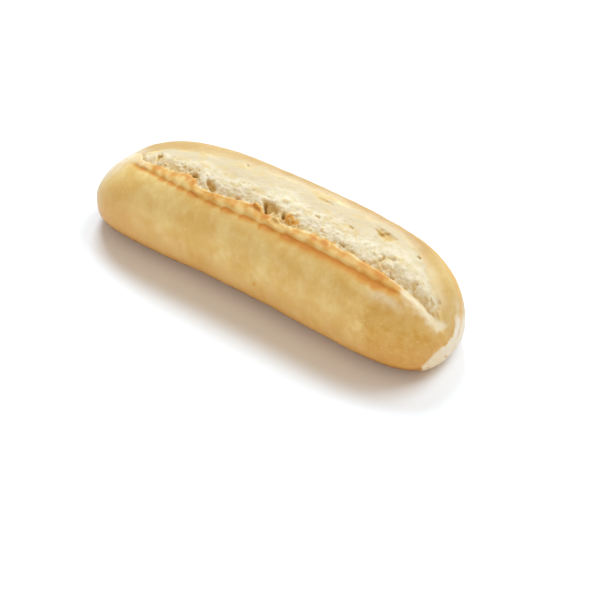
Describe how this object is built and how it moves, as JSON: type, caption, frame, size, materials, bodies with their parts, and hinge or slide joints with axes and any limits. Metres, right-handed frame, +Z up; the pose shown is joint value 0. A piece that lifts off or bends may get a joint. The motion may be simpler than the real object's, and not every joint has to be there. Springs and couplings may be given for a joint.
{
  "type": "bolillo bread roll",
  "caption": "Oblong crusty bolillo bread roll on a flat heel, slashed along its crown, with a lifted ear of crust beside pale torn crumb.",
  "frame": {"origin": "under the middle of the roll's box, on the surface that its heel rests on", "axes": "+X runs along the roll towards its nose, where the slash runs out; -Y is the flank under the ear; +Z is up"},
  "size_m": [0.175, 0.0546, 0.042],
  "materials": {
    "crust": "golden baked crust with a soft satin sheen, toasted along the ear, and pale floury crumb inside the slash"
  },
  "bodies": {
    "root": {"roll": "crust"}
  },
  "joints": []
}
